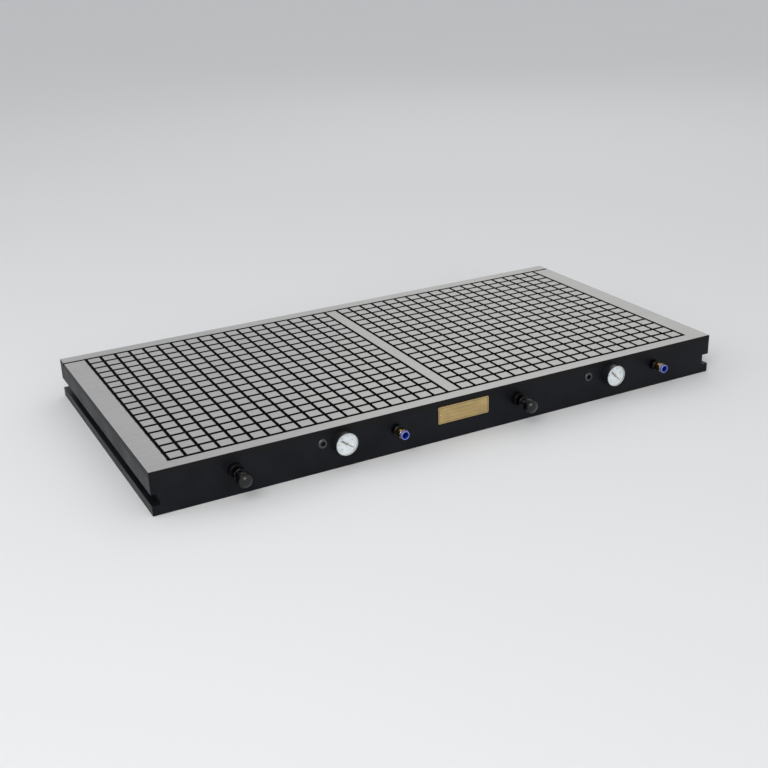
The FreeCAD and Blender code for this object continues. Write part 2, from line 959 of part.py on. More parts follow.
side_pieces = {
    "valve_body": valve_body,
    "valve_nut": valve_nut,
    "valve_spool": valve_spool,
    "spool_seals": spool_seals,
    "valve_knob": valve_knob,
    "gauge_socket": gauge_socket,
    "bourdon_tube": bourdon_tube,
    "gauge_case": gauge_case,
    "gauge_dial": gauge_dial,
    "gauge_needle": gauge_needle,
    "gauge_lens": gauge_lens,
    "gauge_bezel": gauge_bezel,
    "hose_adapter": hose_adapter,
    "fitting_body": fitting_body,
    "tube_seal": tube_seal,
    "grab_ring": grab_ring,
    "release_ring": release_ring,
    "gallery_plug": gallery_plug,
}


def main():
    os.makedirs("parts", exist_ok=True)
    write("work_plate", work_plate())
    write("chuck_base", chuck_base())
    write("rear_fence", rear_fence())
    write("fence_screws", fence_screws())
    write("plate_screws", plate_screws())
    write("name_plate", name_plate())
    write("name_plate_pins", name_plate_pins())
    for side in zone_starts:
        for region, (low, high) in cord_regions(side).items():
            write(region + "_gasket_" + side, cord_loop(low, high, 0))
        for name, make in side_pieces.items():
            write(name + "_" + side, make(side))


main()
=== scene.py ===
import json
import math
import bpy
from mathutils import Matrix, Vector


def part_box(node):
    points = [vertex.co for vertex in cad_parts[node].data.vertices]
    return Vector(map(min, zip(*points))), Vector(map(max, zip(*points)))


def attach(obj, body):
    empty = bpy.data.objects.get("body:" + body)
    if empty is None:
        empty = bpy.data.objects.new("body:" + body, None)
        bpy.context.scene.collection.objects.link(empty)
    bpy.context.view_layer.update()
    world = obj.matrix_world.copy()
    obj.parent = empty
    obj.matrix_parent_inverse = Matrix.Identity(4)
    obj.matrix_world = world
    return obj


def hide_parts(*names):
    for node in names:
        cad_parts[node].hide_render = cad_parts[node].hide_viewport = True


bl_info = {
    "name": "Vacuum chuck",
    "version": (1, 0, 0),
    "blender": (4, 5, 0),
    "location": "3D View > Sidebar > Vacuum chuck",
    "description": "Finishes and small parts of a two-zone vacuum chuck, on its packed frame",
    "category": "Object",
}

import bmesh
import bpy
from mathutils import Euler, Matrix, Vector

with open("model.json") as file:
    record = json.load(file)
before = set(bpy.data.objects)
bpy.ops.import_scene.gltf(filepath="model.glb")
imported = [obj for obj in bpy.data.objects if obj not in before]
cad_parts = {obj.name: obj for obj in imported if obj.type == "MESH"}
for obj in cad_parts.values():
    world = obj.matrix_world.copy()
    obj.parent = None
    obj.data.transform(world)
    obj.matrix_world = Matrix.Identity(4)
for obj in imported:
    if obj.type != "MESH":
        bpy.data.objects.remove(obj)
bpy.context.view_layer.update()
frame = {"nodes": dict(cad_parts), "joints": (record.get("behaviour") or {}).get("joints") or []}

SIDES = ("left", "right")
MM = 0.001
RIGHT = Vector((1, 0, 0))
UP = Vector((0, 0, 1))
FRONT_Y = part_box("chuck_base")[0].y
TOP_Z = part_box("work_plate")[1].z

# Thickness of printed and filled marks
INK = 0.04 * MM
ROUND_STEPS = 96
SMOOTH_ANGLE = math.radians(32)
# Range in which most values of a noise lie
NOISE_LOW = 0.3
NOISE_HIGH = 0.7
BLACK_PAINT = (0.012, 0.012, 0.013)

# Faces within this distance of a plane count as lying on it
ON_PLANE = 0.01 * MM
# Corners within this distance of each other are one
SAME_PLACE = 0.001 * MM
# A line of the grid has at least this many corners of pads on it
GRID_EDGE_COUNT = 20
# Depth over which painted shade darkens the sides of a groove from anodised to dark
GROOVE_SHADE_DEPTH = 1.2 * MM

# Knob: the cap's rise, the step from its foot to the rim, the depth of its seat and the gap round it
CAP_RISE = 2.6 * MM
CAP_STEP = 0.1 * MM
CAP_SEAT = 0.3 * MM
CAP_GAP = 0.05 * MM

# Gauge: depth of the bezel's bare edge, room round its bore, and the cap on the pointer's hub
BEZEL_EDGE = 0.5 * MM
BORE_MARGIN = 0.1 * MM
HUB_RADIUS = 1.85 * MM
HUB_DOME_RADIUS = 1.8 * MM
HUB_DOME_RISE = 0.25 * MM
HUB_STEP = 0.05 * MM

# Hose fitting: wall of the shank, bevel of the hexagon, and the room round the ring's neck
SHANK_WALL = 0.45 * MM
BODY_BEVEL = 0.5 * MM
NECK_ROOM = 0.15 * MM
SHELF_ROOM = 0.1 * MM

# Name plate: rounding of its corners and front edge, and a row's length as a share of the width
SHEET_CORNER = 0.8 * MM
SHEET_EDGE = 0.15 * MM
ROW_SHARE = 0.72
# The pins' heads stand in the sheet and have a short straight wall below the dome
PIN_SEAT = 0.2 * MM
PIN_WALL = 0.1 * MM

FLOOR_RADIUS = 14.0


def colour_property(name, description, default):
    """Setting that holds a colour."""
    return bpy.props.FloatVectorProperty(
        name=name, description=description, subtype="COLOR", size=3, min=0, max=1, default=default
    )


def length_property(name, description, default):
    """Setting that holds a length in metres."""
    return bpy.props.FloatProperty(
        name=name, description=description, unit="LENGTH", precision=5, default=default
    )


def count_property(name, description, default, lowest=1):
    """Setting that holds a whole number."""
    return bpy.props.IntProperty(name=name, description=description, default=default, min=lowest)


class PlateSettings(bpy.types.PropertyGroup):
    """Finish of the work plate, the stop fence and the base."""

    metal: colour_property("Milled face", "Colour of the bare milled top", (0.397, 0.397, 0.393))
    anodised: colour_property("Anodised sides", "Colour of the black sides", (0.0052, 0.0060, 0.0084))
    # painted shade: colour to which the sides darken further below the top, deep in the grooves
    groove: colour_property("Grooves", "Colour down in the grooves", (0.004, 0.004, 0.005))
    edge_break: length_property("Broken edges", "Width of the dark front and rear edge of a pad", 0.0004)
    top_skin: length_property("Bare skin", "Depth that counts as the bare milled face", 0.0001)
    cutter_pass: length_property("Cutter pass", "Width of one pass of the face mill", 0.063)
    feed: length_property("Feed", "Distance between two tool marks", 0.0009)


class ValveSettings(bpy.types.PropertyGroup):
    """Finish of the push-pull valves."""

    knob: colour_property("Knob", "Colour of the round knob", (0.003, 0.003, 0.0035))
    cap: colour_property("Cap", "Colour of the domed cap of the knob", (0.006, 0.006, 0.0065))
    nut: colour_property("Nut", "Colour of the plated hexagon nut", (0.022, 0.022, 0.024))
    collar: colour_property("Collar", "Colour of the valve's collar", (0.003, 0.003, 0.0035))
    cap_inset: length_property("Cap inset", "Width of the knob's rim round its cap", 0.00085)
    rim_round: length_property("Rim rounding", "Rounding of the knob's rim", 0.0008)


class GaugeSettings(bpy.types.PropertyGroup):
    """Dial, marks and housing of the vacuum gauges."""

    dial: colour_property("Dial", "Colour of the dial and of the inside of the case", (0.68, 0.73, 0.75))
    lip: colour_property("Bezel lip", "Colour of the bezel's bore before the glass", (0.66, 0.65, 0.58))
    ink: colour_property("Marks", "Colour of the marks and figures", (0.17, 0.17, 0.20))
    divisions: count_property("Divisions", "Spaces between the long marks of the scale", 10)
    small_marks: count_property("Small marks", "Spaces between the marks of one division", 5)
    full_reading: count_property("Full reading", "Figure at the end of the scale", 100)
    mark_radius: length_property("Mark radius", "Radius of the outer end of the marks", 0.0123)
    long_mark: length_property("Long mark", "Length of a long mark", 0.0015)
    short_mark: length_property("Short mark", "Length of a short mark", 0.0008)
    mark_width: length_property("Mark width", "Width of a long mark", 0.00028)
    figure_radius: length_property("Figure radius", "Radius at which the figures stand", 0.0089)
    figure_height: length_property("Figure height", "Height of the figures", 0.0024)


class FittingSettings(bpy.types.PropertyGroup):
    """Finish of the hose fittings."""

    brass: colour_property("Brass", "Colour of the turned brass", (0.36, 0.26, 0.115))
    hexagon: length_property("Hexagon", "Width of the brass hexagon across its flats", 0.0113)
    hexagon_corner: length_property("Hexagon corner", "Radius of the hexagon's turned corners", 0.0062)
    ring: colour_property("Release ring", "Colour of the hose release ring", (0.125, 0.175, 0.52))
    # painted shade: darker, deeper blue in the hole of the release ring
    ring_hole: colour_property("Ring hole", "Colour in the hole of the release ring", (0.008, 0.02, 0.28))
    ring_radius: length_property("Ring radius", "Outer radius of the release ring's flange", 0.0055)
    ring_flange: length_property("Ring flange", "Length of the release ring's flange", 0.0024)
    ring_gap: length_property("Ring gap", "Gap behind the flange, in which the ring moves", 0.0017)
    neck_radius: length_property("Neck radius", "Outer radius of the release ring's neck", 0.0048)
    hose_radius: length_property("Hose way", "Radius of the hole through the release ring", 0.0041)
    flow_radius: length_property("Air way", "Radius of the air way through the brass body", 0.0029)
    ring_round: length_property("Ring rounding", "Rounding of the release ring's front edges", 0.0005)


class NamePlateSettings(bpy.types.PropertyGroup):
    """The bare name plate."""

    sheet: colour_property("Sheet", "Colour of the brass sheet", (0.50, 0.37, 0.17))
    border: length_property("Border", "Distance from the edge to the border line", 0.0016)
    line_width: length_property("Line width", "Width of the border line", 0.0004)
    rows: count_property("Rows", "Blank ruled rows", 3, 0)


class StageSettings(bpy.types.PropertyGroup):
    """Floor, lights and camera."""

    floor: colour_property("Floor", "Colour of the floor", (0.78, 0.78, 0.78))
    backdrop: colour_property("Backdrop", "Colour seen behind the floor", (0.86, 0.86, 0.87))
    fill: bpy.props.FloatProperty(
        name="Fill", description="Strength of the even light from all round", default=0.64
    )
    lens: bpy.props.FloatProperty(name="Lens", description="Focal length in millimetres", default=52.79)
    camera_place: bpy.props.FloatVectorProperty(
        name="Camera place",
        description="Where the camera stands",
        unit="LENGTH",
        default=(-0.6747, -1.2841, 0.6010),
    )
    camera_turn: bpy.props.FloatVectorProperty(
        name="Camera turn",
        description="How the camera is turned",
        subtype="EULER",
        default=(math.radians(67.447), math.radians(1.657), math.radians(-28.228)),
    )


class Finish:
    """A material in the making: its shader, and the nodes that vary it over the surface."""

    def __init__(self, name, **sockets):
        self.material = bpy.data.materials.new(name)
        self.material.use_nodes = True
        self.tree = self.material.node_tree
        self.shader = self.tree.nodes["Principled BSDF"]
        self.coordinates = self.tree.nodes.new("ShaderNodeTexCoord")
        for socket, value in sockets.items():
            self.shader.inputs[socket.replace("_", " ")].default_value = value

    def add(self, kind, inputs=(), **settings):
        """New node with its settings, and its inputs taken from values or from other nodes' outputs."""
        node = self.tree.nodes.new(kind)
        for name, value in settings.items():
            setattr(node, name, value)
        for name, value in dict(inputs).items():
            if isinstance(value, bpy.types.NodeSocket):
                self.tree.links.new(value, node.inputs[name])
            else:
                node.inputs[name].default_value = value
        return node

    def drive(self, socket, source):
        """Feeds an input of the shader."""
        self.tree.links.new(source, self.shader.inputs[socket])

    def split_place(self):
        """The part's own coordinates, with an output for each axis."""
        return self.add("ShaderNodeSeparateXYZ", {"Vector": self.coordinates.outputs["Object"]})

    def stretched(self, scale):
        """The part's own coordinates, scaled along each axis."""
        place = self.coordinates.outputs["Object"]
        return self.add("ShaderNodeMapping", {"Vector": place, "Scale": scale}).outputs["Vector"]

    def noise(self, scale, detail=3.0, rough=0.5, stretch=(1, 1, 1)):
        """Noise through the solid, stretched along the axes."""
        node = self.add(
            "ShaderNodeTexNoise",
            {"Vector": self.stretched(stretch), "Scale": scale, "Detail": detail, "Roughness": rough},
        )
        return node.outputs["Fac"]

    def math(self, operation, first, second=0.0):
        """One step of arithmetic."""
        node = self.add("ShaderNodeMath", {0: first, 1: second}, operation=operation)
        return node.outputs["Value"]

    def average(self, first, second, share=0.5):
        """Two values mixed, the first with its share and the second with the rest."""
        shares = [self.math("MULTIPLY", first, share), self.math("MULTIPLY", second, 1 - share)]
        return self.math("ADD", *shares)

    def away(self, split, axis_x, axis_z):
        """Distance from an axis square to the front face."""
        across = self.math("SUBTRACT", split.outputs["X"], axis_x)
        height = self.math("SUBTRACT", split.outputs["Z"], axis_z)
        squares = [self.math("POWER", side, 2.0) for side in (across, height)]
        return self.math("SQRT", self.math("ADD", *squares))

    def spread(self, source, low, high, start=0.0, end=1.0):
        """Source from start to end, remapped to low and high."""
        node = self.add(
            "ShaderNodeMapRange",
            {"Value": source, "From Min": start, "From Max": end, "To Min": low, "To Max": high},
        )
        return node.outputs["Result"]

    def vary(self, noise, low=0.0, high=1.0):
        """A noise over its usual range, remapped to low and high."""
        return self.spread(noise, low, high, NOISE_LOW, NOISE_HIGH)

    def blend(self, factor, first, second):
        """Colour mixed from two by a factor."""
        node = self.add("ShaderNodeMix", {"Factor": factor}, data_type="RGBA")
        for index, value in ((6, first), (7, second)):
            if isinstance(value, bpy.types.NodeSocket):
                self.tree.links.new(value, node.inputs[index])
            else:
                node.inputs[index].default_value = (*value, 1)
        return node.outputs[2]

    def bump(self, height, distance, strength=1.0):
        """Fine relief of the surface."""
        node = self.add("ShaderNodeBump", {"Height": height, "Distance": distance, "Strength": strength})
        self.drive("Normal", node.outputs["Normal"])

    def tint(self, colour, factor, amount):
        """Colour that grows lighter and darker by a share as the factor goes from 0 to 1."""
        darker = [c * (1 - amount) for c in colour]
        lighter = [min(c * (1 + amount), 1) for c in colour]
        return self.blend(factor, darker, lighter)


def grid_of(axis):
    """Outermost groove edges along one axis, the bar's half width, and width and pitch of the grooves."""
    counts = {}
    for vertex in frame["nodes"]["work_plate"].data.vertices:
        if abs(vertex.co.z - TOP_Z) < ON_PLANE:
            place = round(vertex.co[axis], 5)
            counts[place] = counts.get(place, 0) + 1
    edges = sorted(place for place, count in counts.items() if count >= GRID_EDGE_COUNT)
    width = min(second - first for first, second in zip(edges, edges[1:]))
    pitch = min(second - first for first, second in zip(edges, edges[2:]))
    bar = min(abs(place) for place in edges) - width
    return edges[0] - width, edges[-1] + width, bar, width, pitch


def pad_borders(finish, split, margin):
    """1 on a narrow border along the grooves that run from side to side."""
    along, across = split.outputs["X"], split.outputs["Y"]
    left, right, bar = grid_of(0)[:3]
    front, rear, _, width, pitch = grid_of(1)
    from_line = finish.math("PINGPONG", finish.math("SUBTRACT", across, front + width / 2), pitch / 2)
    borders = finish.math("LESS_THAN", from_line, width / 2 + margin)
    for place, low, high in ((along, left, right), (across, front, rear)):
        limits = {0: place, 1: (low + high) / 2, 2: (high - low) / 2 + margin}
        within = finish.add("ShaderNodeMath", limits, operation="COMPARE").outputs["Value"]
        borders = finish.math("MULTIPLY", borders, within)
    past_bar = finish.math("GREATER_THAN", finish.math("ABSOLUTE", along), bar)
    return finish.math("MULTIPLY", borders, past_bar)


def milled_finish(settings):
    """Bare milled top, black anodised sides and grooves, with painted shade that darkens the sides from
    the top edge downwards.
    """
    finish = Finish("milled_aluminium", Specular_IOR_Level=0.15)
    split = finish.split_place()
    height = split.outputs["Z"]
    skin = finish.math("GREATER_THAN", height, TOP_Z - settings.top_skin)
    unbroken = finish.math("SUBTRACT", 1.0, pad_borders(finish, split, settings.edge_break))
    top = finish.math("MULTIPLY", skin, unbroken)
    across = split.outputs["Y"]
    # each pass of the face mill leaves arcs, and the passes lie side by side across the plate
    in_pass = finish.math("PINGPONG", across, settings.cutter_pass / 2)
    bow = finish.math("DIVIDE", finish.math("MULTIPLY", in_pass, in_pass), settings.cutter_pass)
    along = finish.math("ADD", split.outputs["X"], bow)
    marks = finish.math("SINE", finish.math("MULTIPLY", along, math.tau / settings.feed))
    streaks = finish.noise(1.0, detail=4.0, stretch=(9, 420, 1))
    patches = finish.noise(14.0, detail=2.0)
    grain = finish.noise(2600.0, detail=2.0)
    sparkle = finish.noise(700.0, detail=2.0, rough=0.7)
    tone = finish.average(streaks, patches, 0.6)
    speckled = finish.average(tone, sparkle)
    metal = finish.tint(settings.metal, finish.vary(speckled), 0.2)
    # painted shade: the sides darken from the anodised colour at the top edge to the groove colour
    # further down
    unshaded = finish.spread(height, 0, 1, TOP_Z - GROOVE_SHADE_DEPTH, TOP_Z)
    sides = finish.blend(unshaded, settings.groove, settings.anodised)
    finish.drive("Base Color", finish.blend(top, sides, metal))
    finish.drive("Metallic", top)
    worn = finish.vary(tone, 0.36, 0.48)
    finish.drive("Roughness", finish.math("MAXIMUM", worn, finish.spread(top, 0.5, 0.0)))
    relief = finish.math("ADD", finish.math("MULTIPLY", marks, 0.25), grain)
    finish.bump(finish.math("MULTIPLY", relief, top), 0.000004, 0.6)
    return finish.material


def anodised_finish(name, colour, roughness=0.42, specular=0.13):
    """Satin black anodised aluminium with faint cutter lines and handling marks."""
    finish = Finish(name, Specular_IOR_Level=specular)
    smudges = finish.noise(22.0, detail=4.0, rough=0.6)
    lines = finish.noise(1.0, detail=3.0, stretch=(30, 30, 900))
    finish.drive("Base Color", finish.tint(colour, finish.vary(smudges), 0.35))
    finish.drive("Roughness", finish.vary(smudges, roughness - 0.06, roughness + 0.08))
    finish.bump(finish.math("ADD", lines, finish.noise(1800.0)), 0.000005, 0.5)
    return finish.material


def metal_finish(name, colour, roughness, grain=1.0, variation=0.08, scale=260.0):
    """Machined metal with fine turning marks and a little tarnish."""
    finish = Finish(name, Metallic=1.0)
    tarnish = finish.noise(scale, detail=3.0)
    rings = finish.noise(1.0, detail=2.0, stretch=(300, 5200, 300))
    finish.drive("Base Color", finish.tint(colour, finish.vary(tarnish), variation))
    finish.drive("Roughness", finish.vary(tarnish, roughness * 0.75, roughness * 1.3))
    finish.bump(rings, 0.000003 * grain, 0.6)
    return finish.material


def moulded_finish(name, colour, roughness, bump=0.000004, specular=0.5):
    """Moulded plastic or rubber with a faint skin."""
    finish = Finish(name, Specular_IOR_Level=specular)
    skin = finish.noise(900.0, detail=3.0)
    cloud = finish.noise(140.0, detail=2.0)
    finish.drive("Base Color", finish.tint(colour, finish.vary(cloud), 0.08))
    finish.drive("Roughness", finish.vary(skin, roughness * 0.85, roughness * 1.2))
    finish.bump(skin, bump, 0.5)
    return finish.material


def sheet_finish(settings):
    """Brushed brass sheet, a little dulled in patches."""
    finish = Finish("brass_sheet", Metallic=1.0)
    brush = finish.noise(1.0, detail=3.0, stretch=(60, 200, 3800))
    dull = finish.noise(90.0, detail=4.0, rough=0.6)
    tone = finish.average(brush, dull)
    finish.drive("Base Color", finish.tint(settings.sheet, finish.spread(tone, 0, 1, 0.35, 0.65), 0.14))
    finish.drive("Roughness", finish.vary(dull, 0.34, 0.5))
    finish.bump(brush, 0.000006, 0.6)
    return finish.material


def glass_finish():
    """Clear flat glass of the gauges."""
    finish = Finish("gauge_glass", Alpha=0.07, IOR=1.5)
    smear = finish.noise(60.0, detail=2.0)
    finish.drive("Base Color", finish.blend(smear, (0.86, 0.9, 0.92), (0.94, 0.96, 0.97)))
    finish.drive("Roughness", finish.spread(smear, 0.02, 0.06))
    return finish.material


def gauge_case_finish(settings, axis_x, axis_z, inside, name):
    """White inside the case and black outside it."""
    finish = Finish(name)
    split = finish.split_place()
    outside = finish.math("GREATER_THAN", finish.away(split, axis_x, axis_z), inside)
    finish.drive("Base Color", finish.blend(outside, settings.dial, BLACK_PAINT))
    finish.drive("Roughness", finish.spread(finish.noise(500.0), 0.3, 0.45))
    return finish.material


def bezel_finish(settings, edge_y, axis_x, axis_z, bore, name):
    """Black painted ring with a light bore, its front edge turned bare."""
    finish = Finish(name, Specular_IOR_Level=0.4)
    split = finish.split_place()
    inner = finish.math("LESS_THAN", finish.away(split, axis_x, axis_z), bore)
    outside = finish.math("SUBTRACT", 1.0, inner)
    front = finish.math("MULTIPLY", finish.math("LESS_THAN", split.outputs["Y"], edge_y), outside)
    painted = finish.blend(front, BLACK_PAINT, (0.05, 0.05, 0.048))
    finish.drive("Base Color", finish.blend(inner, painted, settings.lip))
    finish.drive("Metallic", front)
    finish.drive("Roughness", finish.spread(finish.noise(500.0), 0.18, 0.3))
    return finish.material


def ring_finish(settings, axis, inner, name):
    """Blue plastic with painted shade: a darker, deeper blue in the hole of the ring."""
    finish = Finish(name, Coat_Weight=0.25, Coat_Roughness=0.08)
    split = finish.split_place()
    # painted shade: the hole of the ring is coloured a darker, deeper blue
    hole_shade_mask = finish.math("LESS_THAN", finish.away(split, axis.x, axis.z), inner)
    cloud = finish.noise(300.0, detail=2.0)
    skin = finish.tint(settings.ring, finish.vary(cloud), 0.06)
    finish.drive("Base Color", finish.blend(hole_shade_mask, skin, settings.ring_hole))
    finish.drive("Roughness", finish.spread(cloud, 0.24, 0.34))
    finish.bump(finish.noise(900.0), 0.000003, 0.4)
    return finish.material


def wear(node, material):
    """Gives a frame node its finish."""
    for material_slot in frame["nodes"][node].material_slots:
        material_slot.material = material


def axis_of(node):
    """Where the axis of a round node meets the front face."""
    low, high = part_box(node)
    return Vector(((low.x + high.x) / 2, FRONT_Y, (low.z + high.z) / 2))


def add_piece(name, shape, material, body, stands_for=()):
    """Adds a piece from a bmesh, smooth where its faces nearly line up, riding on a body."""
    mesh = bpy.data.meshes.new(name)
    shape.to_mesh(mesh)
    shape.free()
    mesh.materials.append(material)
    mesh.shade_smooth()
    mesh.set_sharp_from_angle(angle=SMOOTH_ANGLE)
    piece = bpy.data.objects.new(name, mesh)
    bpy.context.scene.collection.objects.link(piece)
    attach(piece, body)
    if stands_for:
        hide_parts(*stands_for)


def turn(shape, profile, centre, flats=math.inf):
    """Adds a form turned from (out, radius) pairs, about an axis square to the front face.

    With flats it is cut to a hexagon of that width.
    """
    rings = []
    for out, radius in profile:
        count = ROUND_STEPS if radius > 0 else 1
        ring = []
        for step in range(count):
            angle = math.tau * step / count
            # the corners stand at 30 degrees and every 60 degrees from there
            from_flat = math.remainder(angle, math.pi / 3)
            reach = min(radius, flats / 2 / math.cos(from_flat))
            place = centre + Vector((reach * math.cos(angle), -out, reach * math.sin(angle)))
            ring.append(shape.verts.new(place))
        rings.append(ring)
    for first, second in zip(rings, rings[1:]):
        for step in range(ROUND_STEPS):
            following = (step + 1) % ROUND_STEPS
            corners = [first[step % len(first)], first[following % len(first)]]
            corners += [second[following % len(second)], second[step % len(second)]]
            shape.faces.new(list(dict.fromkeys(corners)))
    bmesh.ops.recalc_face_normals(shape, faces=shape.faces)


def slab(shape, centre, along, across, width, height, thickness):
    """Adds a thin block that lies on a plane facing the front, centred on a point of that plane."""
    corners = []
    for out in (0, thickness):
        for a, b in ((-1, -1), (1, -1), (1, 1), (-1, 1)):
            place = centre + along * (a * width / 2) + across * (b * height / 2) + Vector((0, -out, 0))
            corners.append(shape.verts.new(place))
    for face in ((0, 1, 2, 3), (7, 6, 5, 4), (0, 4, 5, 1), (1, 5, 6, 2), (2, 6, 7, 3), (3, 7, 4, 0)):
        shape.faces.new([corners[index] for index in face])


def corner(out, radius, rounding, way, steps=6):
    """Profile of a rounded edge. Way 1 ends at the front face, and way -1 starts at the back face."""
    pairs = []
    for step in range(steps + 1):
        angle = math.pi / 2 * step / steps
        down = rounding * (1 - math.cos(angle))
        pairs.append((out - way * rounding * (1 - math.sin(angle)), radius - down))
    return pairs if way > 0 else pairs[::-1]


def bore_radius(node, axis):
    """Smallest radius of a round node that has a bore."""
    return min(math.hypot(v.co.x - axis.x, v.co.z - axis.z) for v in frame["nodes"][node].data.vertices)


def knob_socket(node, axis):
    """How far out the floor of a knob's socket lies, and the socket's radius, read from the mesh."""
    narrowest = 0.5 * MM
    widest = 4 * MM
    deepest = 9 * MM
    inner = []
    for vertex in frame["nodes"][node].data.vertices:
        radius = math.hypot(vertex.co.x - axis.x, vertex.co.z - axis.z)
        if narrowest < radius < widest:
            inner.append((FRONT_Y - vertex.co.y, radius))
    mouth, hole = min(inner)
    wall = [out for out, radius in inner if abs(radius - hole) < 0.05 * MM]
    floor = max(out for out in wall if out < mouth + deepest)
    return floor, hole


def dome(out, radius, rise, steps=8):
    """Profile of a shallow dome from its rim to its top."""
    curve = (radius**2 + rise**2) / (2 * rise)
    reach = math.asin(radius / curve)
    pairs = []
    for step in range(steps + 1):
        angle = reach * (1 - step / steps)
        away = curve * math.sin(angle) if step < steps else 0
        pairs.append((out + rise - curve * (1 - math.cos(angle)), away))
    return pairs


class CHUCK_OT_plates(bpy.types.Operator):
    """Finish the work plate, the stop fence, the base, their screws and gaskets"""

    bl_idname = "chuck.plates"
    bl_label = "Plates"

    def execute(self, context):
        settings = context.scene.chuck_plates
        milled = milled_finish(settings)
        wear("work_plate", milled)
        wear("rear_fence", milled)
        wear("chuck_base", anodised_finish("black_anodised", settings.anodised))
        black_screw = metal_finish("black_screw", (0.035, 0.035, 0.038), 0.35, variation=0.2)
        wear("fence_screws", black_screw)
        wear("plate_screws", black_screw)
        cord = moulded_finish("sealing_cord", (0.02, 0.02, 0.02), 0.7)
        for side in SIDES:
            wear("zone_gasket_" + side, cord)
            wear("supply_gasket_" + side, cord)
        return {"FINISHED"}


class CHUCK_OT_valves(bpy.types.Operator):
    """Finish the push-pull valves"""

    bl_idname = "chuck.valves"
    bl_label = "Valves"

    def execute(self, context):
        settings = context.scene.chuck_valves
        collar = anodised_finish("valve_collar", settings.collar, 0.36, 0.1)
        nut = metal_finish("plated_nut", settings.nut, 0.24, variation=0.12)
        stem = metal_finish("ground_stem", (0.42, 0.42, 0.43), 0.22)
        knob = moulded_finish("gloss_knob", settings.knob, 0.16, 0.000001, specular=0.1)
        cap = moulded_finish("gloss_cap", settings.cap, 0.12, 0.000001, specular=0.36)
        seal = moulded_finish("spool_rubber", (0.02, 0.02, 0.02), 0.65)
        for side in SIDES:
            wear("valve_body_" + side, collar)
            wear("valve_nut_" + side, nut)
            wear("valve_spool_" + side, stem)
            wear("spool_seals_" + side, seal)
            self.shape_knob(settings, side, knob, cap)
        return {"FINISHED"}

    def shape_knob(self, settings, side, knob, cap):
        """Knob with a rounded rim, hollow for the stem, and a domed cap set in its front."""
        node = "valve_knob_" + side
        axis = axis_of(node)
        low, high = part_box(node)
        front = FRONT_Y - low.y
        back = FRONT_Y - high.y
        radius = (high.x - low.x) / 2
        floor, hole = knob_socket(node, axis)
        rounding = settings.rim_round
        rim = front - CAP_RISE - CAP_STEP
        seat = rim - CAP_SEAT
        inset = radius - settings.cap_inset
        barrel = bmesh.new()
        profile = [(floor, 0), (floor, hole), (back, hole)]
        profile += corner(back, radius, rounding, -1) + corner(rim, radius, rounding, 1)
        profile += [(rim, inset), (seat, inset), (seat, 0)]
        turn(barrel, profile, axis)
        add_piece("knob_barrel_" + side, barrel, knob, "knob_" + side, [node])
        crown = bmesh.new()
        reach = inset - CAP_GAP
        turn(crown, [(seat, 0), (seat, reach)] + dome(front - CAP_RISE, reach, CAP_RISE, 14), axis)
        add_piece("knob_cap_" + side, crown, cap, "knob_" + side)


def scale_start(side):
    """Angle of the pointer at rest, from the point of its mesh that lies farthest from the pivot."""
    pivot = axis_of("gauge_lens_" + side)
    reach = 0.0
    tip = pivot
    for vertex in frame["nodes"]["gauge_needle_" + side].data.vertices:
        away = Vector((vertex.co.x - pivot.x, 0, vertex.co.z - pivot.z))
        if away.length > reach:
            reach = away.length
            tip = vertex.co
    return math.atan2(tip.z - pivot.z, tip.x - pivot.x)


def scale_sweep(side):
    """Angle through which the pointer turns, read from its joint."""
    joint = next(j for j in frame["joints"] if j["name"] == "gauge_needle_turn_" + side)
    return math.radians(joint["range_deg"][1])


def dial_centre(side):
    """Centre of the face of the dial."""
    centre = axis_of("gauge_dial_" + side)
    centre.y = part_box("gauge_dial_" + side)[0].y
    return centre


def dial_marks(settings, side):
    """Long and short marks of the scale, as ink on the dial."""
    centre = dial_centre(side)
    start = scale_start(side)
    sweep = scale_sweep(side)
    shape = bmesh.new()
    count = settings.divisions * settings.small_marks
    for step in range(count + 1):
        angle = start + sweep * step / count
        is_long = step % settings.small_marks == 0
        length = settings.long_mark if is_long else settings.short_mark
        width = settings.mark_width if is_long else settings.mark_width / 2
        along = Vector((math.cos(angle), 0, math.sin(angle)))
        across = Vector((-math.sin(angle), 0, math.cos(angle)))
        middle = centre + along * (settings.mark_radius - length / 2)
        slab(shape, middle, along, across, length, width, INK)
    return shape


def add_figure(shape, text, height, centre):
    """Adds one upright figure as ink, centred on a point of the dial."""
    curve = bpy.data.curves.new("figure", "FONT")
    curve.body = text
    curve.size = height
    curve.align_x = "CENTER"
    curve.align_y = "CENTER"
    curve.extrude = INK / 2
    curve.resolution_u = 3
    holder = bpy.data.objects.new("figure", curve)
    mesh = bpy.data.meshes.new_from_object(holder)
    bpy.data.objects.remove(holder)
    bpy.data.curves.remove(curve)
    upright = Matrix.Rotation(math.pi / 2, 4, "X")
    mesh.transform(Matrix.Translation(centre - Vector((0, INK / 2, 0))) @ upright)
    shape.from_mesh(mesh)
    bpy.data.meshes.remove(mesh)


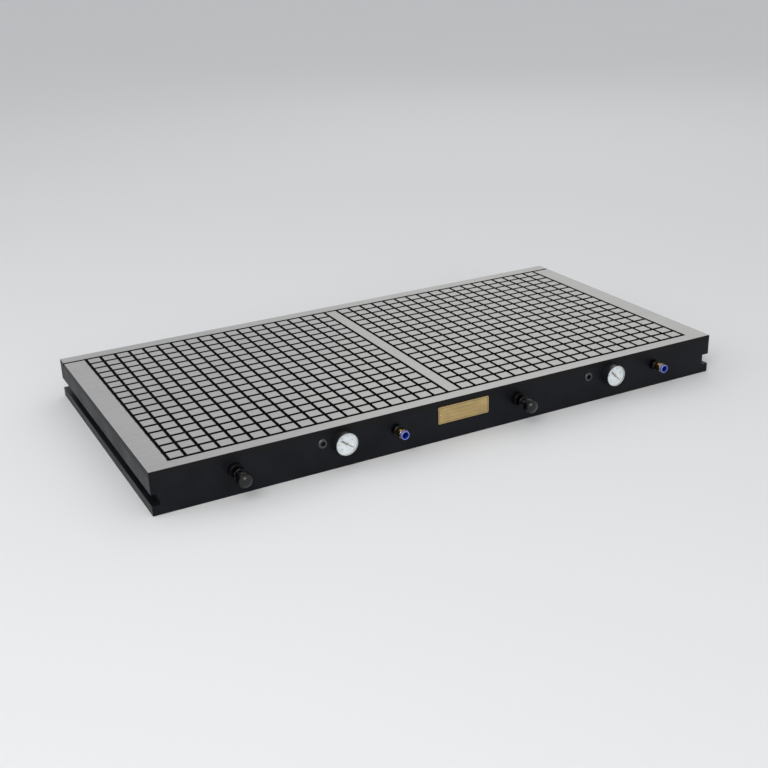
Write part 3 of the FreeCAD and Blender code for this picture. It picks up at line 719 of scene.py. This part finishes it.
class CHUCK_OT_gauges(bpy.types.Operator):
    """Finish the vacuum gauges and print their dials"""

    bl_idname = "chuck.gauges"
    bl_label = "Gauges"

    def execute(self, context):
        settings = context.scene.chuck_gauges
        dial = moulded_finish("dial_enamel", settings.dial, 0.4, 0.000002)
        ink = moulded_finish("dial_ink", settings.ink, 0.5)
        pointer = moulded_finish("pointer_paint", (0.02, 0.02, 0.022), 0.4)
        brass = metal_finish("gauge_brass", (0.34, 0.30, 0.15), 0.25)
        tube = metal_finish("bourdon_bronze", (0.42, 0.24, 0.12), 0.3, variation=0.2)
        glass = glass_finish()
        for side in SIDES:
            axis = axis_of("gauge_dial_" + side)
            dial_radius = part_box("gauge_dial_" + side)[1].x - axis.x
            wall = (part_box("gauge_case_" + side)[1].x - axis.x + dial_radius) / 2
            case = gauge_case_finish(settings, axis.x, axis.z, wall, "gauge_case_" + side)
            wear("gauge_case_" + side, case)
            edge_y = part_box("gauge_bezel_" + side)[0].y + BEZEL_EDGE
            bore = bore_radius("gauge_bezel_" + side, axis) + BORE_MARGIN
            bezel = bezel_finish(settings, edge_y, axis.x, axis.z, bore, "bezel_" + side)
            wear("gauge_bezel_" + side, bezel)
            wear("gauge_dial_" + side, dial)
            wear("gauge_needle_" + side, pointer)
            wear("gauge_lens_" + side, glass)
            wear("gauge_socket_" + side, brass)
            wear("bourdon_tube_" + side, tube)
            add_piece("dial_marks_" + side, dial_marks(settings, side), ink, "chuck")
            self.print_figures(settings, side, ink)
            self.cap_pointer(side, brass)
        return {"FINISHED"}

    def print_figures(self, settings, side, ink):
        """Figures at every second long mark."""
        centre = dial_centre(side)
        shape = bmesh.new()
        for step in range(0, settings.divisions + 1, 2):
            angle = scale_start(side) + scale_sweep(side) * step / settings.divisions
            place = centre + settings.figure_radius * Vector((math.cos(angle), 0, math.sin(angle)))
            reading = settings.full_reading * step // settings.divisions
            add_figure(shape, str(reading), settings.figure_height, place)
        add_piece("dial_figures_" + side, shape, ink, "chuck")

    def cap_pointer(self, side, brass):
        """Domed brass cap over the pointer's hub, clear of the glass."""
        axis = axis_of("gauge_dial_" + side)
        hub_out = FRONT_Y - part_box("gauge_needle_" + side)[0].y
        profile = [(hub_out, 0), (hub_out, HUB_RADIUS)]
        profile += dome(hub_out + HUB_STEP, HUB_DOME_RADIUS, HUB_DOME_RISE)
        shape = bmesh.new()
        turn(shape, profile, axis)
        add_piece("pointer_cap_" + side, shape, brass, "needle_" + side)


class CHUCK_OT_fittings(bpy.types.Operator):
    """Finish the hose fittings and the gallery plugs"""

    bl_idname = "chuck.fittings"
    bl_label = "Fittings and plugs"

    def execute(self, context):
        settings = context.scene.chuck_fittings
        adapter = metal_finish("black_adapter", (0.025, 0.025, 0.028), 0.3, variation=0.15)
        brass = metal_finish("turned_brass", settings.brass, 0.15, 0.25, 0.06, 90.0)
        steel = metal_finish("spring_steel", (0.45, 0.45, 0.46), 0.25)
        plug = metal_finish("dark_plug", (0.09, 0.09, 0.095), 0.32, variation=0.15)
        seal = moulded_finish("tube_rubber", (0.02, 0.02, 0.02), 0.6)
        for side in SIDES:
            wear("hose_adapter_" + side, adapter)
            self.shape_body(settings, side, brass)
            self.shape_ring(settings, side)
            wear("grab_ring_" + side, steel)
            wear("tube_seal_" + side, seal)
            wear("gallery_plug_" + side, plug)
        return {"FINISHED"}

    def shape_body(self, settings, side, brass):
        """Brass body: a shank in the adapter, a hexagon, and room for seal, grab ring and neck."""
        node = "fitting_body_" + side
        low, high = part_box("tube_seal_" + side)
        back = FRONT_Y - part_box(node)[1].y
        stop = back + MM
        start = FRONT_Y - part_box("hose_adapter_" + side)[0].y
        end = FRONT_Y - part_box("release_ring_" + side)[0].y - settings.ring_flange - settings.ring_gap
        seat = FRONT_Y - high.y
        shelf = FRONT_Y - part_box("grab_ring_" + side)[0].y + SHELF_ROOM
        recess = (high.x - low.x) / 2
        shank = recess + SHANK_WALL
        tip = settings.hexagon_corner
        bore = settings.neck_radius + NECK_ROOM
        flow = settings.flow_radius
        hose = settings.hose_radius
        profile = [(back, flow), (back, shank), (start, shank), (start, tip - BODY_BEVEL)]
        profile += [(start + BODY_BEVEL, tip), (end - BODY_BEVEL, tip), (end, tip - 1.5 * BODY_BEVEL)]
        profile += [(end, bore), (shelf, bore), (shelf, recess), (seat, recess), (seat, hose)]
        profile += [(stop, hose), (stop, flow), (back, flow)]
        shape = bmesh.new()
        turn(shape, profile, axis_of(node), settings.hexagon)
        bmesh.ops.remove_doubles(shape, verts=shape.verts, dist=SAME_PLACE)
        add_piece("hose_body_" + side, shape, brass, "chuck", [node])

    def shape_ring(self, settings, side):
        """Release ring: a neck that enters the brass body, and a thin flange in front of it."""
        node = "release_ring_" + side
        low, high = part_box(node)
        front = FRONT_Y - low.y
        back = FRONT_Y - high.y
        hole = settings.hose_radius
        rounding = settings.ring_round
        shoulder = front - settings.ring_flange
        profile = [(back, hole), (back, settings.neck_radius), (shoulder, settings.neck_radius)]
        profile += corner(shoulder, settings.ring_radius, rounding / 3, -1, 3)
        profile += corner(front, settings.ring_radius, rounding, 1)
        steps = 6
        for step in range(steps + 1):
            angle = math.pi / 2 * step / steps
            out = front - rounding * (1 - math.cos(angle))
            profile.append((out, hole + rounding * (1 - math.sin(angle))))
        profile.append((back, hole))
        shape = bmesh.new()
        axis = axis_of(node)
        turn(shape, profile, axis)
        bmesh.ops.remove_doubles(shape, verts=shape.verts, dist=SAME_PLACE)
        blue = ring_finish(settings, axis, hole + rounding * 0.3, "blue_ring_" + side)
        add_piece("hose_ring_" + side, shape, blue, "ring_" + side, [node])


class CHUCK_OT_name_plate(bpy.types.Operator):
    """Make the bare name plate and its pins"""

    bl_idname = "chuck.name_plate"
    bl_label = "Name plate"

    def execute(self, context):
        settings = context.scene.chuck_name_plate
        low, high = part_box("name_plate")
        sheet = sheet_finish(settings)
        size = high - low
        centre = (low + high) / 2
        centre.y = high.y
        shape = bmesh.new()
        slab(shape, centre, RIGHT, UP, size.x, size.z, size.y)
        bmesh.ops.recalc_face_normals(shape, faces=shape.faces)
        corners = [e for e in shape.edges if abs(e.verts[0].co.y - e.verts[1].co.y) > 0.5 * size.y]
        bmesh.ops.bevel(shape, geom=corners, offset=SHEET_CORNER, segments=5, affect="EDGES")
        front = [e for e in shape.edges if max(v.co.y for v in e.verts) < low.y + ON_PLANE]
        bmesh.ops.bevel(shape, geom=front, offset=SHEET_EDGE, segments=2, affect="EDGES")
        add_piece("name_plate_sheet", shape, sheet, "chuck", ["name_plate"])
        self.rule_lines(settings, low, high)
        self.set_pins(low)
        return {"FINISHED"}

    def rule_lines(self, settings, low, high):
        """Border line and blank ruled rows, filled dark."""
        shape = bmesh.new()
        centre = Vector(((low.x + high.x) / 2, low.y, (low.z + high.z) / 2))
        width = high.x - low.x - 2 * settings.border
        height = high.z - low.z - 2 * settings.border
        line = settings.line_width
        for sign in (-1, 1):
            above = centre + UP * (sign * (height - line) / 2)
            beside = centre + RIGHT * (sign * (width - line) / 2)
            slab(shape, above, RIGHT, UP, width, line, INK)
            slab(shape, beside, RIGHT, UP, line, height - 2 * line, INK)
        for row in range(settings.rows):
            drop = height * ((row + 1) / (settings.rows + 1) - 0.5)
            slab(shape, centre + UP * drop, RIGHT, UP, width * ROW_SHARE, line / 2, INK)
        bmesh.ops.recalc_face_normals(shape, faces=shape.faces)
        ink = moulded_finish("plate_lines", (0.10, 0.07, 0.03), 0.5)
        add_piece("name_plate_lines", shape, ink, "chuck")

    def set_pins(self, plate_low):
        """Two domed pins at mid height, one near each end."""
        low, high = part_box("name_plate_pins")
        radius = (high.z - low.z) / 2
        seat = FRONT_Y - plate_low.y
        rise = FRONT_Y - low.y - seat
        brass = metal_finish("pin_brass", (0.50, 0.38, 0.17), 0.25)
        profile = [(seat - PIN_SEAT, 0), (seat - PIN_SEAT, radius)]
        profile += dome(seat + PIN_WALL, radius, rise - PIN_WALL)
        shape = bmesh.new()
        for x in (low.x + radius, high.x - radius):
            turn(shape, profile, Vector((x, FRONT_Y, (low.z + high.z) / 2)))
        add_piece("name_plate_pin_heads", shape, brass, "chuck", ["name_plate_pins"])


class CHUCK_OT_stage(bpy.types.Operator):
    """Set up the floor, the lights, the backdrop and the camera"""

    bl_idname = "chuck.stage"
    bl_label = "Stage"

    def execute(self, context):
        settings = context.scene.chuck_stage
        self.lay_floor(settings)
        self.light_world(context.scene, settings)
        self.place_lamps(context.scene)
        self.place_camera(context.scene, settings)
        context.scene.view_settings.view_transform = "Standard"
        return {"FINISHED"}

    def lay_floor(self, settings):
        """A wide round sheet of pale paper."""
        shape = bmesh.new()
        bmesh.ops.create_circle(shape, cap_ends=True, segments=ROUND_STEPS, radius=FLOOR_RADIUS)
        mesh = bpy.data.meshes.new("floor")
        shape.to_mesh(mesh)
        shape.free()
        floor = bpy.data.objects.new("floor", mesh)
        bpy.context.scene.collection.objects.link(floor)
        finish = Finish("floor_paper", Roughness=0.85, Specular_IOR_Level=0.2)
        cloud = finish.noise(1.4, detail=2.0)
        finish.drive("Base Color", finish.tint(settings.floor, cloud, 0.012))
        mesh.materials.append(finish.material)

    def light_world(self, scene, settings):
        """Even light from all round, and a backdrop where no floor is seen or mirrored."""
        world = bpy.data.worlds.new("studio")
        world.use_nodes = True
        scene.world = world
        nodes = world.node_tree.nodes
        links = world.node_tree.links
        seen = nodes["Background"]
        seen.inputs["Color"].default_value = (*settings.backdrop, 1)
        seen.inputs["Strength"].default_value = 1.0
        lit = nodes.new("ShaderNodeBackground")
        lit.inputs["Color"].default_value = (0.95, 0.97, 1.0, 1)
        lit.inputs["Strength"].default_value = settings.fill
        path = nodes.new("ShaderNodeLightPath")
        direct = path.outputs["Is Camera Ray"]
        for ray in ("Is Glossy Ray", "Is Transmission Ray"):
            either = nodes.new("ShaderNodeMath")
            either.operation = "MAXIMUM"
            links.new(direct, either.inputs[0])
            links.new(path.outputs[ray], either.inputs[1])
            direct = either.outputs["Value"]
        mix = nodes.new("ShaderNodeMixShader")
        links.new(direct, mix.inputs["Fac"])
        links.new(lit.outputs["Background"], mix.inputs[1])
        links.new(seen.outputs["Background"], mix.inputs[2])
        links.new(mix.outputs["Shader"], nodes["World Output"].inputs["Surface"])

    def place_lamps(self, scene):
        """Soft lamps: name, place, size, power, spread in degrees and colour."""
        lamps = (
            ("key_lamp", (-1.3, -1.5, 1.7), (1.3, 1.3), 22.0, 180, (1.0, 0.99, 0.97)),
            ("front_lamp", (0.1, -4.4, 1.05), (2.2, 1.4), 12.0, 100, (1.0, 0.99, 0.97)),
            ("side_lamp", (-1.9, 0.5, 1.1), (1.0, 1.0), 5.0, 180, (0.84, 0.92, 1.0)),
            ("rear_lamp", (1.4, 1.7, 1.8), (1.5, 1.5), 4.6, 180, (1.0, 0.98, 0.92)),
        )
        target = Vector((0, 0, TOP_Z / 2))
        for name, place, size, power, spread, colour in lamps:
            data = bpy.data.lights.new(name, "AREA")
            data.shape = "RECTANGLE"
            data.size, data.size_y = size
            data.energy = power
            data.spread = math.radians(spread)
            data.color = colour
            lamp = bpy.data.objects.new(name, data)
            lamp.location = place
            lamp.rotation_euler = (target - Vector(place)).to_track_quat("-Z", "Y").to_euler()
            scene.collection.objects.link(lamp)

    def place_camera(self, scene, settings):
        """Camera that looks down at the front and the left end."""
        data = bpy.data.cameras.new("camera")
        data.lens = settings.lens
        data.sensor_width = 36.0
        data.clip_start = 0.05
        data.clip_end = 60.0
        camera = bpy.data.objects.new("camera", data)
        camera.location = settings.camera_place
        camera.rotation_euler = Euler(settings.camera_turn)
        scene.collection.objects.link(camera)
        scene.camera = camera


class CHUCK_PT_panel(bpy.types.Panel):
    """Lists the steps that dress the chuck"""

    bl_idname = "CHUCK_PT_panel"
    bl_label = "Vacuum chuck"
    bl_space_type = "VIEW_3D"
    bl_region_type = "UI"
    bl_category = "Vacuum chuck"

    def draw(self, context):
        for name, operator in STEPS:
            box = self.layout.box()
            box.operator(operator.bl_idname)
            group = getattr(context.scene, name, None)
            if group is not None:
                for prop in group.bl_rna.properties:
                    if not prop.is_readonly and prop.identifier != "name":
                        box.prop(group, prop.identifier)


STEPS = (
    ("chuck_plates", CHUCK_OT_plates),
    ("chuck_valves", CHUCK_OT_valves),
    ("chuck_gauges", CHUCK_OT_gauges),
    ("chuck_fittings", CHUCK_OT_fittings),
    ("chuck_name_plate", CHUCK_OT_name_plate),
    ("chuck_stage", CHUCK_OT_stage),
)
SETTINGS = {
    "chuck_plates": PlateSettings,
    "chuck_valves": ValveSettings,
    "chuck_gauges": GaugeSettings,
    "chuck_fittings": FittingSettings,
    "chuck_name_plate": NamePlateSettings,
    "chuck_stage": StageSettings,
}
CLASSES = [*SETTINGS.values(), *(operator for _, operator in STEPS), CHUCK_PT_panel]


def register():
    for cls in CLASSES:
        bpy.utils.register_class(cls)
    for name, group in SETTINGS.items():
        setattr(bpy.types.Scene, name, bpy.props.PointerProperty(type=group))


def unregister():
    for name in SETTINGS:
        delattr(bpy.types.Scene, name)
    for cls in reversed(CLASSES):
        bpy.utils.unregister_class(cls)


def main():
    """Registers the add-on and takes every step in order."""
    register()
    bpy.ops.chuck.plates()
    bpy.ops.chuck.valves()
    bpy.ops.chuck.gauges()
    bpy.ops.chuck.fittings()
    bpy.ops.chuck.name_plate()
    bpy.ops.chuck.stage()


if __name__ == "__main__":
    main()
